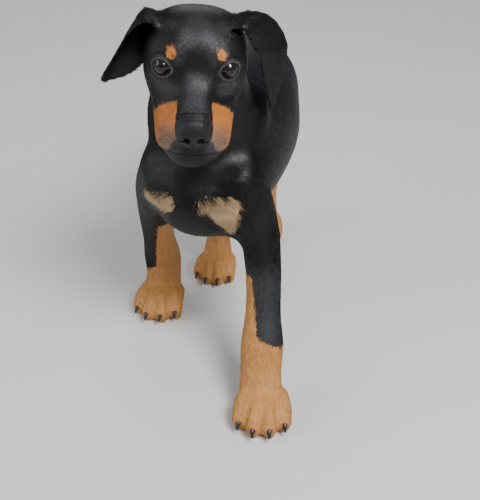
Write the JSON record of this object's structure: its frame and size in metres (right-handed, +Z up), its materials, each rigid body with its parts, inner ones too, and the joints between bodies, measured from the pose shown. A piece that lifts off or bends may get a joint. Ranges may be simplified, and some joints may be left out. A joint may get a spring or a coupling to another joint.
{
  "type": "doberman pinscher puppy",
  "caption": "Life-size still model of a black and tan Doberman pinscher puppy in mid stride, with its head up, its muzzle lowered and its natural ears hanging.",
  "frame": {"origin": "on the floor, under the middle of the model's bounding box", "axes": "+Z up, -Y the way the puppy faces, +X the puppy's left side"},
  "size_m": [0.1976, 0.4586, 0.3707],
  "materials": {
    "black_coat": "short glossy black coat",
    "tan_coat": "short rust tan coat",
    "nose_leather": "grained, slightly moist",
    "eye_glass": "polished dark glass",
    "claw_horn": "dark horn"
  },
  "bodies": {
    "root": {"head": "black_coat", "lower_jaw": "tan_coat", "nose": "nose_leather", "eye_left": "eye_glass", "eye_right": "eye_glass", "ear_left": "black_coat", "ear_right": "black_coat", "neck": "black_coat", "torso": "black_coat", "tail": "black_coat", "foreleg_left": "black_coat", "foreleg_right": "black_coat", "hindleg_left": "black_coat", "hindleg_right": "black_coat", "forepaw_left": "tan_coat", "forepaw_right": "tan_coat", "hindpaw_left": "tan_coat", "hindpaw_right": "tan_coat", "forepaw_left_claw_1": "claw_horn", "forepaw_left_claw_2": "claw_horn", "forepaw_left_claw_3": "claw_horn", "forepaw_left_claw_4": "claw_horn", "forepaw_right_claw_1": "claw_horn", "forepaw_right_claw_2": "claw_horn", "forepaw_right_claw_3": "claw_horn", "forepaw_right_claw_4": "claw_horn", "hindpaw_left_claw_1": "claw_horn", "hindpaw_left_claw_2": "claw_horn", "hindpaw_left_claw_3": "claw_horn", "hindpaw_left_claw_4": "claw_horn", "hindpaw_right_claw_1": "claw_horn", "hindpaw_right_claw_2": "claw_horn", "hindpaw_right_claw_3": "claw_horn", "hindpaw_right_claw_4": "claw_horn"}
  },
  "joints": []
}
